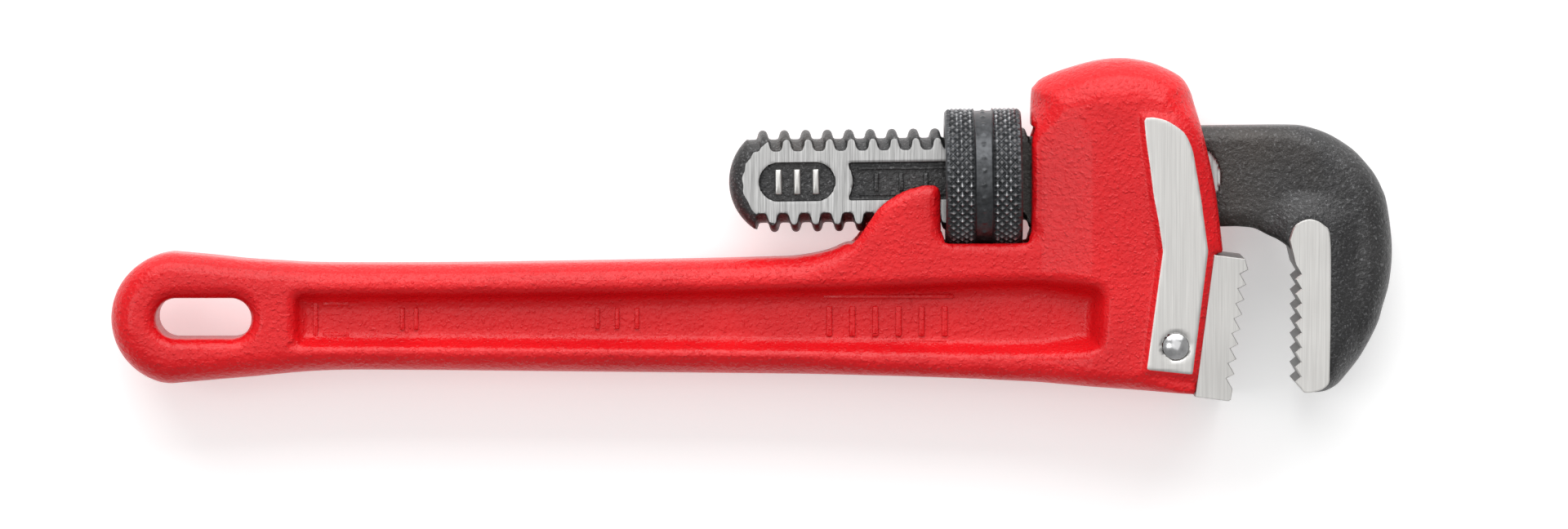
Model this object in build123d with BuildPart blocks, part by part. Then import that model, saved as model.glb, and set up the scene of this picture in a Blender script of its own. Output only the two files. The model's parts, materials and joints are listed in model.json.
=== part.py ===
from build123d import *
from math import atan, cos, pi, radians, sin
import os

os.makedirs("parts", exist_ok=True)

# Driving dimensions, millimetres and degrees. X runs from the handle's end to the jaws, Y across
# the wrench towards the head, Z through its thickness. The wrench lies on its side.
nut_radius = 12.9  # the nut is the thickest piece, so the wrench rests on it
nut_width = 13.9
screw_x = 42.24  # centre of the adjusting nut
screw_y = 9.43
float_angle = 0.7  # how far the springs lift the hook jaw
thread_pitch = 3.92
crest_radius = 9.3
root_radius = 7.6
shank_half = 5.0  # half thickness across the ground flats
grip_half = 7.8
housing_half = 8.0
head_half = 10.6
pad_half = 11.4
web_half = 3.75
tunnel_half = 6.2
running_fit = 0.1
box_centre_x = 0.15  # middle of the wrench's length and width in the drawing
box_centre_y = 0.41

# The drawing plane is the middle of the thickness. The jaw plane is turned with the hook jaw, its
# x along the screw, and the heel plane has its x out of the heel jaw's seat and y up along it.
mid = Plane(origin=(-box_centre_x, -box_centre_y, nut_radius))
screw_centre = mid.origin + Vector(screw_x, screw_y, 0)
lean = radians(float_angle)
screw_direction = Vector(cos(lean), sin(lean), 0)
jaw = Plane(origin=screw_centre, x_dir=screw_direction, z_dir=(0, 0, 1))
screw = Plane(origin=screw_centre, x_dir=(0, 0, 1), z_dir=screw_direction)
seat_lean = 7.4
seat_top = (83.85, -3.9)
seat_out = (cos(radians(seat_lean)), -sin(radians(seat_lean)), 0)
heel = Plane(origin=mid.origin + Vector(*seat_top, 0), x_dir=seat_out, z_dir=(0, 0, 1))


# Housing and handle, one malleable iron casting
lobe_centre = (-104.5, -15.9)
lobe_radius = 12.05
grip_top = -5.95
grip_bottom = -25.4
neck_x = -77.5
shoulder_x = 8.9
window_left = 34.7
window_right = 50.9
saddle_y = -1.2
hump_top = 8.6
seat_length = 25.7
seat_bottom = (
    seat_top[0] - seat_length * sin(radians(seat_lean)),
    seat_top[1] - seat_length * cos(radians(seat_lean)),
)
head_top = 31.4
crown_y = 23.0  # where the dome of the head starts
wall_slope_x = 62.6  # the cheeks thin out from here to the nut's window
trough_radius = 13.5
floor_y = -2.1
hang_hole_centre = (-99.6, -15.85)
hang_hole_length = 17.4
hang_hole_width = 7.4
pin_centre = (76.97, -20.6)
pin_radius = 2.38
tongue_half = 4.0
tongue_depth = 9.3
tongue_top = -3.0
tongue_bottom = -23.5
coil_x = 58.0
coil_bottom_y = -8.6
pocket_radius = 3.1
pocket_depth = 8

lobe_bottom = (lobe_centre[0] + 1.6, lobe_centre[1] - lobe_radius + 0.1)
lobe_left = (lobe_centre[0] - lobe_radius, lobe_centre[1])
lobe_top = (lobe_centre[0], lobe_centre[1] + lobe_radius)
grip_end_x = 14.0
grip_rounding = 3.6

with BuildPart() as grip_block:
    with BuildSketch(mid):
        with BuildLine():
            ThreePointArc(lobe_bottom, lobe_left, lobe_top)
            Spline(lobe_top, (-91.9, -5.2), (neck_x, grip_top), tangents=((1, 0), (1, 0)))
            Line((neck_x, grip_top), (grip_end_x, -4.7))
            Line((grip_end_x, -4.7), (grip_end_x, -25.95))
            Line((grip_end_x, -25.95), (neck_x, grip_bottom))
            Spline((neck_x, grip_bottom), (-91.9, -26.6), lobe_bottom, tangents=((-1, 0), (-1, 0)))
        make_face()
    extrude(amount=grip_half, both=True)
    grip_rims = grip_block.faces().filter_by(Axis.Z).edges()
    grip_rims = grip_rims.filter_by_position(Axis.X, -130, grip_end_x - 0.1 - box_centre_x)
    fillet(grip_rims, radius=grip_rounding)

with BuildPart() as housing_block:
    with BuildSketch(mid):
        with BuildLine():
            Line((shoulder_x, -25.9), (shoulder_x, -4.6))
            Spline(
                (shoulder_x, -4.6),
                (14.9, -3.3),
                (20.9, 2.1),
                (26.8, 7.3),
                (32.2, hump_top),
                tangents=((1, 0.02), (1, 0)),
            )
            Line((32.2, hump_top), (window_left, hump_top))
            Line((window_left, hump_top), (window_left, saddle_y))
            Line((window_left, saddle_y), (window_right, saddle_y))
            Line((window_right, saddle_y), (window_right, 3.0))
            Line((window_right, 3.0), (66.0, 3.0))
            Line((66.0, 3.0), (66.0, -28.3))
            Line((66.0, -28.3), (38.7, -26.8))
            Line((38.7, -26.8), (shoulder_x, -25.9))
        make_face()
    extrude(amount=housing_half, both=True)
    hump_corner = mid.from_local_coords(Vector(window_left, hump_top, 0))
    fillet(housing_block.edges().filter_by(Axis.Z).sort_by_distance(hump_corner)[0], radius=2.0)

with BuildPart() as head_block:
    with BuildSketch(mid):
        with BuildLine():
            Line((54.0, -27.4), (window_right, -8.0))
            Line((window_right, -8.0), (window_right, 24.8))
            Spline(
                (window_right, 24.6),
                (51.6, 26.4),
                (56.6, 29.2),
                (67.4, head_top),
                (77.0, 28.8),
                (80.6, 23.0),
                tangents=((0, 1), (0.27, -1)),
            )
            Spline((80.6, 23.0), (84.1, 8.6), (85.6, -3.6), tangents=((0.27, -1), (0.08, -1)))
            Line((85.6, -3.6), seat_top)
            Line(seat_top, seat_bottom)
            Line(seat_bottom, (54.0, -27.4))
        make_face()
    extrude(amount=head_half, both=True)
    # the crown is domed across its thickness
    with BuildSketch(Plane(origin=mid.origin + Vector(40, 0, 0), x_dir=(0, 1, 0), z_dir=(1, 0, 0))):
        with BuildLine():
            Polyline((crown_y, -head_half), (-40, -head_half), (-40, head_half), (crown_y, head_half))
            ThreePointArc((crown_y, head_half), (head_top, 0), (crown_y, -head_half))
        make_face()
    extrude(amount=60, mode=Mode.INTERSECT)
    for side in (1, -1):
        with BuildSketch(Plane(origin=mid.origin, x_dir=(1, 0, 0), z_dir=(0, -1, 0)).offset(-40)):
            with BuildLine():
                Polyline(
                    (window_right - 5, side * housing_half),
                    (window_right, side * housing_half),
                    (wall_slope_x, side * head_half),
                    (wall_slope_x, side * (head_half + 3)),
                    (window_right - 5, side * (head_half + 3)),
                    close=True,
                )
            make_face()
        extrude(amount=80, mode=Mode.SUBTRACT)

with BuildPart() as handle:
    add(grip_block.part)
    add(housing_block.part)
    add(head_block.part)
    # flat ground pads on both cheeks, the places where the casting is clamped and measured
    with BuildSketch(mid):
        with BuildLine():
            Line((71.0, 21.0), (72.8, 21.1))
            Spline((72.8, 21.1), (77.6, 19.0), (80.6, 11.5), (82.9, -3.3), tangents=((1, 0), (0.1, -1)))
            Polyline((82.9, -3.3), (80.1, -25.8), (71.6, -24.9), (74.5, -3.3))
            Spline((74.5, -3.3), (72.8, 6.8), (71.7, 13.5), (71.0, 21.0))
        make_face()
    extrude(amount=pad_half, both=True)
    # recess along each side that leaves the middle of the handle a thin web
    for side in (1, -1):
        with BuildSketch(mid.offset(side * web_half)) as recess:
            with BuildLine():
                ThreePointArc((-77.5, -20.2), (-82.1, -15.8), (-77.5, -11.4))
                Line((-77.5, -11.4), (-8.9, -10.8))
                Line((-8.9, -10.8), (47.7, -9.0))
                Line((47.7, -9.0), (63.3, -9.6))
                Line((63.3, -9.6), (63.3, -20.6))
                Line((63.3, -20.6), (47.7, -21.5))
                Line((47.7, -21.5), (-77.5, -20.2))
            make_face()
            fillet(recess.vertices().group_by(Axis.X)[-1], radius=2.0)
        extrude(amount=side * head_half, mode=Mode.SUBTRACT)
    # hang hole
    with BuildSketch(mid):
        with Locations(hang_hole_centre):
            SlotOverall(hang_hole_length, hang_hole_width)
    extrude(amount=grip_half + 1, both=True, mode=Mode.SUBTRACT)
    # round trough that the nut turns in
    with BuildSketch(screw.offset(window_left - screw_x)):
        Circle(trough_radius)
    extrude(amount=window_right - window_left, mode=Mode.SUBTRACT)
    # tunnel for the shank, its roof parallel to the lifted jaw
    with BuildSketch(jaw):
        with BuildLine():
            Polyline(
                (window_left - screw_x - 30, floor_y - screw_y),
                (60, floor_y - screw_y - 0.7),
                (60, crest_radius + running_fit),
                (window_left - screw_x - 30, crest_radius + running_fit),
                close=True,
            )
        make_face()
    extrude(amount=tunnel_half, both=True, mode=Mode.SUBTRACT)
    # pocket for the coil spring
    pocket_floor = mid.origin + Vector(coil_x, coil_bottom_y, 0)
    with BuildSketch(Plane(origin=pocket_floor, x_dir=(0, 0, 1), z_dir=(0, 1, 0))):
        Circle(pocket_radius)
    extrude(amount=pocket_depth, mode=Mode.SUBTRACT)
    # slot for the heel jaw's tongue, and the hole for its pin
    with BuildSketch(heel):
        with BuildLine():
            Polyline(
                (-tongue_depth, tongue_top),
                (3, tongue_top),
                (3, tongue_bottom),
                (-tongue_depth, tongue_bottom),
                close=True,
            )
        make_face()
    extrude(amount=tongue_half, both=True, mode=Mode.SUBTRACT)
    with BuildSketch(mid):
        with Locations(pin_centre):
            Circle(pin_radius)
    extrude(amount=pad_half + 1, both=True, mode=Mode.SUBTRACT)

handle.part.label = "handle"
export_step(handle.part, "parts/handle.step")
# Hook jaw, forged in one piece with its toothed shank. Its outline is drawn in the jaw plane, from
# the centre of the nut.
tooth_crest = 1.15
tooth_base = 2.1
tooth_phase = -8.68  # middle of a tooth on the upper edge of the shank
first_tooth = -9  # counted in pitches, the last one not made
last_tooth = 6
tooth_tilt = atan(thread_pitch / (pi * (crest_radius + root_radius)))
shank_end = -46.3
thread_end = 15.0
arm_half_height = 9.25
arm_half = 5.8
nose_reach = 3.3  # how far the nose's arc stands out
cartouche_depth = 1.0
hook_pad_half = 8.7
hook_tooth_top = (56.25, -16.0)
hook_tooth_count = 9
hook_tooth_pitch = 2.66
hook_tooth_depth = 1.05
long_flank = 0.66  # share of the pitch that a jaw tooth's long flank takes


def screw_tooth(side):
    """A tooth of the shank's upper or lower edge, tilted as the thread climbs, at the nut's centre."""
    axis = screw_direction * cos(tooth_tilt) - Vector(0, 0, side * sin(tooth_tilt))
    section = Plane(origin=screw_centre, x_dir=axis, z_dir=axis.cross(jaw.y_dir))
    flank = (tooth_base - tooth_crest) / 2 / (crest_radius - root_radius)
    buried = tooth_base / 2 + flank * (root_radius - shank_half)
    with BuildPart() as tooth:
        with BuildSketch(section):
            with BuildLine():
                Polyline(
                    (-buried, shank_half),
                    (-tooth_crest / 2, crest_radius),
                    (tooth_crest / 2, crest_radius),
                    (buried, shank_half),
                    close=True,
                )
            make_face()
        revolve(axis=Axis(screw_centre, axis))
        with BuildSketch(jaw):
            with Locations((0, side * (root_radius + crest_radius) / 2)):
                Rectangle(4 * tooth_base, crest_radius, align=(Align.CENTER, Align.CENTER))
        extrude(amount=shank_half, both=True, mode=Mode.INTERSECT)
    return tooth.part


def jaw_gullets(plane, top, down, inward, count, pitch, depth, floor_share, half):
    """The gullets between the teeth of a jaw, a row of notches down the tooth line."""
    with BuildPart() as gullets:
        for index in range(count):
            start = Vector(*top) + Vector(*down) * pitch * index
            end = start + Vector(*down) * pitch
            with BuildSketch(plane):
                with BuildLine():
                    Polyline(
                        start - Vector(*inward) * 0.4,
                        start,
                        start + Vector(*down) * pitch * floor_share + Vector(*inward) * depth,
                        end,
                        end - Vector(*inward) * 0.4,
                        close=True,
                    )
                make_face()
            extrude(amount=half, both=True)
    return gullets.part


with BuildPart() as hook_jaw:
    # root of the screw between its ground flats, with a round nose
    with BuildSketch(screw.offset(shank_end)):
        Circle(root_radius)
        Rectangle(2 * shank_half, 3 * root_radius, mode=Mode.INTERSECT)
    extrude(amount=thread_end + 1 - shank_end)
    with BuildSketch(jaw):
        with BuildLine():
            nose_start = shank_end + nose_reach
            ThreePointArc((nose_start, -root_radius), (shank_end, 0), (nose_start, root_radius))
            Polyline(
                (nose_start, root_radius),
                (thread_end + 5, 2 * root_radius),
                (thread_end + 5, -2 * root_radius),
                (nose_start, -root_radius),
            )
        make_face()
    extrude(amount=shank_half, both=True, mode=Mode.INTERSECT)
    for side in (1, -1):
        shift = 0 if side > 0 else thread_pitch / 2
        middles = [tooth_phase + index * thread_pitch + shift for index in range(first_tooth, last_tooth)]
        with Locations(*[screw_direction * middle for middle in middles]):
            add(screw_tooth(side))
    # arm and hook
    with BuildSketch(jaw):
        with BuildLine():
            Line((thread_end, -arm_half_height), (thread_end, arm_half_height))
            Line((thread_end, arm_half_height), (56.0, arm_half_height - 0.15))
            Spline(
                (56.0, arm_half_height - 0.15),
                (63.0, 7.4),
                (69.0, 3.0),
                (73.6, -5.4),
                (73.9, -19.5),
                (68.1, -33.8),
                (64.1, -38.5),
                (61.5, -39.5),
                tangents=((1, 0), (-1, -0.2)),
            )
            Line((61.5, -39.5), (57.7, -39.7))
            Line((57.7, -39.7), (55.98, -37.7))
            Line((55.98, -37.7), hook_tooth_top)
            Spline(hook_tooth_top, (55.2, -13.0), (52.1, -11.0), (47.3, -9.1), tangents=((-0.2, 1), (-1, 0)))
            Line((47.3, -9.1), (thread_end, -arm_half_height))
        make_face()
    extrude(amount=arm_half, both=True)
    # ground pads beside the teeth
    with BuildSketch(jaw):
        with BuildLine():
            ThreePointArc((55.2, -11.5), (58.9, -7.75), (62.7, -11.5))
            Line((62.7, -11.5), (62.3, -37.0))
            Spline((62.3, -37.0), (61.0, -38.8), (59.0, -39.3), tangents=((0, -1), (-1, 0)))
            Line((59.0, -39.3), (57.7, -39.3))
            Line((57.7, -39.3), (55.98, -37.7))
            Line((55.98, -37.7), hook_tooth_top)
            Line(hook_tooth_top, (55.2, -11.5))
        make_face()
    extrude(amount=hook_pad_half, both=True)
    add(
        jaw_gullets(
            jaw,
            hook_tooth_top,
            (-sin(lean), -cos(lean)),
            (cos(lean), -sin(lean)),
            hook_tooth_count,
            hook_tooth_pitch,
            hook_tooth_depth,
            long_flank,
            hook_pad_half + 1,
        ),
        mode=Mode.SUBTRACT,
    )
    # recessed cartouches in the shank's ground flats
    for side in (1, -1):
        with BuildSketch(jaw.offset(side * (shank_half - cartouche_depth))):
            with Locations((-33.9, 0)):
                SlotOverall(13.7, 6.9)
            with BuildLine():
                Line((-24.4, 3.35), (1.0, 3.35))
                Line((1.0, 3.35), (1.0, -3.35))
                Line((1.0, -3.35), (-24.4, -3.35))
                ThreePointArc((-24.4, -3.35), (-23.4, 0), (-24.4, 3.35))
            make_face()
        extrude(amount=side * 2, mode=Mode.SUBTRACT)

hook_jaw.part.label = "hook_jaw"
export_step(hook_jaw.part, "parts/hook_jaw.step")

# Heel jaw, a hardened block with a tongue that the pin holds in the casting. Drawn in the heel
# plane, x out of the seat.
heel_half = 10.4
heel_front = 6.58
heel_height = 26.1
heel_tooth_top = -1.98
heel_tooth_count = 9
heel_tooth_pitch = 2.73
heel_tooth_depth = 1.15

with BuildPart() as heel_jaw:
    with BuildSketch(heel):
        with BuildLine():
            Polyline(
                (0, -0.1),
                (5.75, -0.1),
                (heel_front, heel_tooth_top),
                (heel_front, -heel_height + 0.3),
                (heel_front - 0.4, -heel_height),
                (0, -heel_height),
                close=True,
            )
        make_face()
    extrude(amount=heel_half, both=True)
    with BuildSketch(heel):
        with BuildLine():
            Polyline(
                (-tongue_depth, tongue_top),
                (1, tongue_top),
                (1, tongue_bottom),
                (-tongue_depth, tongue_bottom),
                close=True,
            )
        make_face()
    extrude(amount=tongue_half, both=True)
    add(
        jaw_gullets(
            heel,
            (heel_front, heel_tooth_top),
            (0, -1),
            (-1, 0),
            heel_tooth_count - 1,
            heel_tooth_pitch,
            heel_tooth_depth,
            1 - long_flank,
            heel_half + 1,
        ),
        mode=Mode.SUBTRACT,
    )
    with BuildSketch(mid):
        with Locations(pin_centre):
            Circle(pin_radius)
    extrude(amount=pad_half, both=True, mode=Mode.SUBTRACT)

heel_jaw.part.label = "heel_jaw"
export_step(heel_jaw.part, "parts/heel_jaw.step")

# Pin that holds the heel jaw, its domed ends just below the ground pads
pin_half_length = 11.2

with BuildPart() as heel_jaw_pin:
    with BuildSketch(mid):
        with Locations(pin_centre):
            Circle(pin_radius)
    extrude(amount=pin_half_length, both=True)
    fillet(heel_jaw_pin.edges().filter_by(GeomType.CIRCLE), radius=1.0)

heel_jaw_pin.part.label = "heel_jaw_pin"
export_step(heel_jaw_pin.part, "parts/heel_jaw_pin.step")

# Adjusting nut, with one ridge that runs in the thread of the shank
bore_radius = 9.55
ridge_tip_radius = 7.85
ridge_base = 2.35
ridge_tip = 1.4
nut_chamfer = 0.75
groove_width = 3.1
groove_depth = 0.5
ridge_margin = 1.2  # from the middle of the ridge's ends to the nut's faces
ridge_start = tooth_phase + 0.75 * thread_pitch  # half a pitch from the teeth, a quarter turn on
ridge_length = nut_width / 2 - ridge_margin - ridge_start

# the ridge winds round Z here, its middle line on the nut's bore
with BuildPart() as nut_ridge:
    with BuildLine() as ridge_path:
        Helix(thread_pitch, ridge_length, bore_radius)
    with BuildSketch(Plane(origin=ridge_path.line @ 0, x_dir=(1, 0, 0), z_dir=ridge_path.line % 0)):
        with BuildLine():
            Polyline(
                (0.3, -ridge_base / 2),
                (0, -ridge_base / 2),
                (ridge_tip_radius - bore_radius, -ridge_tip / 2),
                (ridge_tip_radius - bore_radius, ridge_tip / 2),
                (0, ridge_base / 2),
                (0.3, ridge_base / 2),
                close=True,
            )
        make_face()
    sweep(path=ridge_path.line, is_frenet=True)

with BuildPart() as adjusting_nut:
    with BuildSketch(screw.offset(-nut_width / 2)):
        Circle(nut_radius)
    extrude(amount=nut_width)
    chamfer(adjusting_nut.edges(), length=nut_chamfer)
    with BuildSketch(screw.offset(-nut_width / 2)):
        Circle(bore_radius)
    extrude(amount=nut_width, mode=Mode.SUBTRACT)
    with BuildSketch(screw.offset(-groove_width / 2)):
        Circle(nut_radius + 1)
        Circle(nut_radius - groove_depth, mode=Mode.SUBTRACT)
    extrude(amount=groove_width, mode=Mode.SUBTRACT)
    with Locations(screw.offset(ridge_start).location):
        add(nut_ridge.part)

adjusting_nut.part.label = "adjusting_nut"
export_step(adjusting_nut.part, "parts/adjusting_nut.step")

# Flat spring that lies along the tunnel's floor and bears on the shank
leaf_start = 10.5
leaf_end = 40.0
leaf_thickness = 0.9
leaf_half = 4.5
leaf_top = -crest_radius - running_fit
rivet_x = coil_x - screw_x
rivet_radius = 1.0
rivet_head_radius = 1.7
rivet_head_height = 0.9

with BuildPart() as flat_spring:
    with BuildSketch(jaw):
        with BuildLine():
            Polyline(
                (leaf_start, leaf_top),
                (leaf_end, leaf_top),
                (leaf_end, leaf_top - leaf_thickness),
                (leaf_start, leaf_top - leaf_thickness),
                close=True,
            )
        make_face()
    extrude(amount=leaf_half, both=True)
    leaf_corners = flat_spring.edges().filter_by(lambda edge: abs((edge % 0).dot(jaw.y_dir)) > 0.9)
    fillet(leaf_corners, radius=2.0)
    rivet_top = jaw.from_local_coords(Vector(rivet_x, leaf_top, 0))
    rivet_plane = Plane(origin=rivet_top, x_dir=(0, 0, 1), z_dir=-jaw.y_dir)
    with BuildSketch(rivet_plane):
        Circle(rivet_radius)
    extrude(amount=leaf_thickness, mode=Mode.SUBTRACT)

flat_spring.part.label = "flat_spring"
export_step(flat_spring.part, "parts/flat_spring.step")

# Rivet through the flat spring, its head a seat for the coil spring
with BuildPart() as spring_rivet:
    with BuildSketch(rivet_plane):
        Circle(rivet_radius)
    extrude(amount=leaf_thickness)
    with BuildSketch(rivet_plane.offset(leaf_thickness)):
        Circle(rivet_head_radius)
    extrude(amount=rivet_head_height)
    fillet(spring_rivet.faces().sort_by(Axis.Y)[0].edges(), radius=0.4)

spring_rivet.part.label = "spring_rivet"
export_step(spring_rivet.part, "parts/spring_rivet.step")

# Coil spring in its pocket under the flat spring
wire_radius = 0.35
coil_radius = 2.3
coil_turns = 5
coil_bottom = pocket_floor + Vector(0, wire_radius + 0.02, 0)
leaf_bottom_y = screw_y + leaf_top - leaf_thickness + rivet_x * sin(lean)
coil_height = leaf_bottom_y - coil_bottom_y - 2 * wire_radius - 0.2

with BuildPart() as coil_spring:
    with BuildLine() as coil_path:
        Helix(coil_height / coil_turns, coil_height, coil_radius, coil_bottom, (0, 1, 0))
    with BuildSketch(Plane(origin=coil_path.line @ 0, z_dir=coil_path.line % 0)):
        Circle(wire_radius)
    sweep(path=coil_path.line, is_frenet=True)

coil_spring.part.label = "coil_spring"
export_step(coil_spring.part, "parts/coil_spring.step")

pieces = [handle, hook_jaw, heel_jaw, heel_jaw_pin, adjusting_nut, flat_spring, spring_rivet, coil_spring]
whole = Compound(children=[piece.part for piece in pieces]).bounding_box()
print("whole", whole.min, whole.max)
for piece in pieces:
    print(piece.part.label, round(piece.part.volume, 1), len(piece.part.solids()), piece.part.is_valid)
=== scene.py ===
import json
import bpy
import numpy as np
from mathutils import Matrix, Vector


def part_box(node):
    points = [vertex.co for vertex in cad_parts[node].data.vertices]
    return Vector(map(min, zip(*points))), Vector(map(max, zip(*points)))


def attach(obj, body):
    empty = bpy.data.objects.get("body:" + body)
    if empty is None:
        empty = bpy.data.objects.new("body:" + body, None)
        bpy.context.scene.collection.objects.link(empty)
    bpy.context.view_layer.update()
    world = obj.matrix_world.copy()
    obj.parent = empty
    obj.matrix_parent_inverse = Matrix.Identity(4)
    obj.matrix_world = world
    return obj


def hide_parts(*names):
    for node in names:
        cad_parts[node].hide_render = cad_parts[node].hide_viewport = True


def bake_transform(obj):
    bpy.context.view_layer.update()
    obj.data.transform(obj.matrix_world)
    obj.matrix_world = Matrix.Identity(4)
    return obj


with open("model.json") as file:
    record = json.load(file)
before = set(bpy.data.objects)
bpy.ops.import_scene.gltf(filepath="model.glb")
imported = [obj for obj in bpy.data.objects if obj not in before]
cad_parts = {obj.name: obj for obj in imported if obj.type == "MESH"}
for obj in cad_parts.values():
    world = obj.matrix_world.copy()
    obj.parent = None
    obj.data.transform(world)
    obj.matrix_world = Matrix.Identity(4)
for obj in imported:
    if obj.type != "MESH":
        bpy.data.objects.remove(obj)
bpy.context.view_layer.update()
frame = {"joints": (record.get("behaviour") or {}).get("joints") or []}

mm = 0.001

# Shapes are worked out in millimetres on flat planes, and put into the frame at the end. The drawing plane
# is the middle of the thickness. The jaw plane has its x along the screw, from the nut's centre. The screw
# plane lies across the screw. The heel plane has its x out of the seat and its y up along it.
joints = {joint["name"]: joint for joint in frame["joints"]}
up = np.array([0.0, 0.0, 1.0])
nutCentre = np.array(joints["jaw_float"]["pos_m"]) / mm
screwAxis = np.array(joints["jaw_slide"]["axis"])
screwAxis = screwAxis / np.linalg.norm(screwAxis)
screwAcross = np.cross(up, screwAxis)
screwPlace = np.array([42.24, 9.43])  # the nut's centre on the drawing
drawingOrigin = nutCentre - np.array([*screwPlace, 0.0])
seatLean = np.radians(7.4)
seatTop = np.array([83.85, -3.9])
seatOut = np.array([np.cos(seatLean), -np.sin(seatLean), 0.0])
seatUp = np.cross(up, seatOut)
drawingPlane = {"origin": drawingOrigin, "x": np.array([1.0, 0, 0]), "y": np.array([0, 1.0, 0]), "z": up}
jawPlane = {"origin": nutCentre, "x": screwAxis, "y": screwAcross, "z": up}
screwPlane = {"origin": nutCentre, "x": screwAcross, "y": up, "z": screwAxis}
heelPlane = {"origin": drawingOrigin + np.array([*seatTop, 0.0]), "x": seatOut, "y": seatUp, "z": up}


def placed(points, plane):  # origin plus each coordinate times its axis, in metres
    return (plane["origin"] + points @ np.array([plane["x"], plane["y"], plane["z"]])) * mm


def smoothLine(points, step=0.5):
    # a Catmull-Rom curve through the points, sampled about every step
    points = np.array(points, float)
    padded = np.vstack([2 * points[0] - points[1], points, 2 * points[-1] - points[-2]])
    pieces = []
    for before, start, end, after in zip(padded, padded[1:], padded[2:], padded[3:]):
        count = max(2, int(np.linalg.norm(end - start) / step))
        t = np.arange(count)[:, None] / count
        pieces.append(
            0.5 * (2 * start + (end - before) * t + (2 * before - 5 * start + 4 * end - after) * t**2
                   + (3 * start - before - 3 * end + after) * t**3)
        )
    return np.vstack(pieces + [points[-1:]])


def outlineDistance(x, y, outline):
    # distance to the nearest side, negative where a ray to the right crosses an odd number of sides
    x, y = np.broadcast_arrays(x, y)
    shape, x, y = x.shape, x.ravel(), y.ravel()
    startX, startY = outline.T
    sideX, sideY = np.roll(startX, -1) - startX, np.roll(startY, -1) - startY
    squared = np.maximum(sideX**2 + sideY**2, 1e-12)
    result = np.empty(len(x))
    batch = 20000  # points at a time, to save memory
    for first in range(0, len(x), batch):
        some = slice(first, first + batch)
        dx = x[some, None] - startX
        dy = y[some, None] - startY
        along = np.clip((dx * sideX + dy * sideY) / squared, 0, 1)
        away = np.hypot(dx - along * sideX, dy - along * sideY).min(1)
        crossed = (dy >= 0) != (dy - sideY >= 0)
        atX = startX + dy / np.where(sideY == 0, 1, sideY) * sideX
        odd = ((crossed & (x[some, None] < atX)).sum(1) % 2) == 1
        result[some] = np.where(odd, -away, away)
    return result.reshape(shape)


def outlineField(outline, cell=0.3, margin=5):
    # the distance on a grid, and a function that reads between its nodes
    low = outline.min(0) - margin
    counts = ((outline.max(0) + margin - low) / cell).astype(int) + 2
    gridX, gridY = low[0] + cell * np.arange(counts[0]), low[1] + cell * np.arange(counts[1])
    grid = outlineDistance(gridX[:, None], gridY[None, :], outline)

    def look(x, y):
        x, y = np.broadcast_arrays(x, y)
        column = np.clip((x - low[0]) / cell, 0, counts[0] - 1.001)
        row = np.clip((y - low[1]) / cell, 0, counts[1] - 1.001)
        i, j = column.astype(int), row.astype(int)
        s, t = column - i, row - j
        return ((grid[i, j] * (1 - s) + grid[i + 1, j] * s) * (1 - t)
                + (grid[i, j + 1] * (1 - s) + grid[i + 1, j + 1] * s) * t)

    return look


def roundMax(a, b, r):  # the larger of two distances, its outer edge rounded to radius r
    return np.minimum(np.maximum(a, b), -r) + np.hypot(np.maximum(a + r, 0), np.maximum(b + r, 0))


def roundMin(a, b, r):  # the smaller of two distances, its inner corner filled to radius r
    return -roundMax(-a, -b, r)


def carve(a, tool, r):
    return roundMax(a, -tool, r)


def blend(a, b, share):  # a where the share is 0, b where it is 1
    return a + (b - a) * share


def ramp(x, start, end):  # 0 up to start, 1 from end on, straight between
    return np.clip((x - start) / (end - start), 0, 1)


def ease(x, start, end):  # the same with soft ends: 3 t squared less 2 t cubed
    t = ramp(x, start, end)
    return t * t * (3 - 2 * t)


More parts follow.
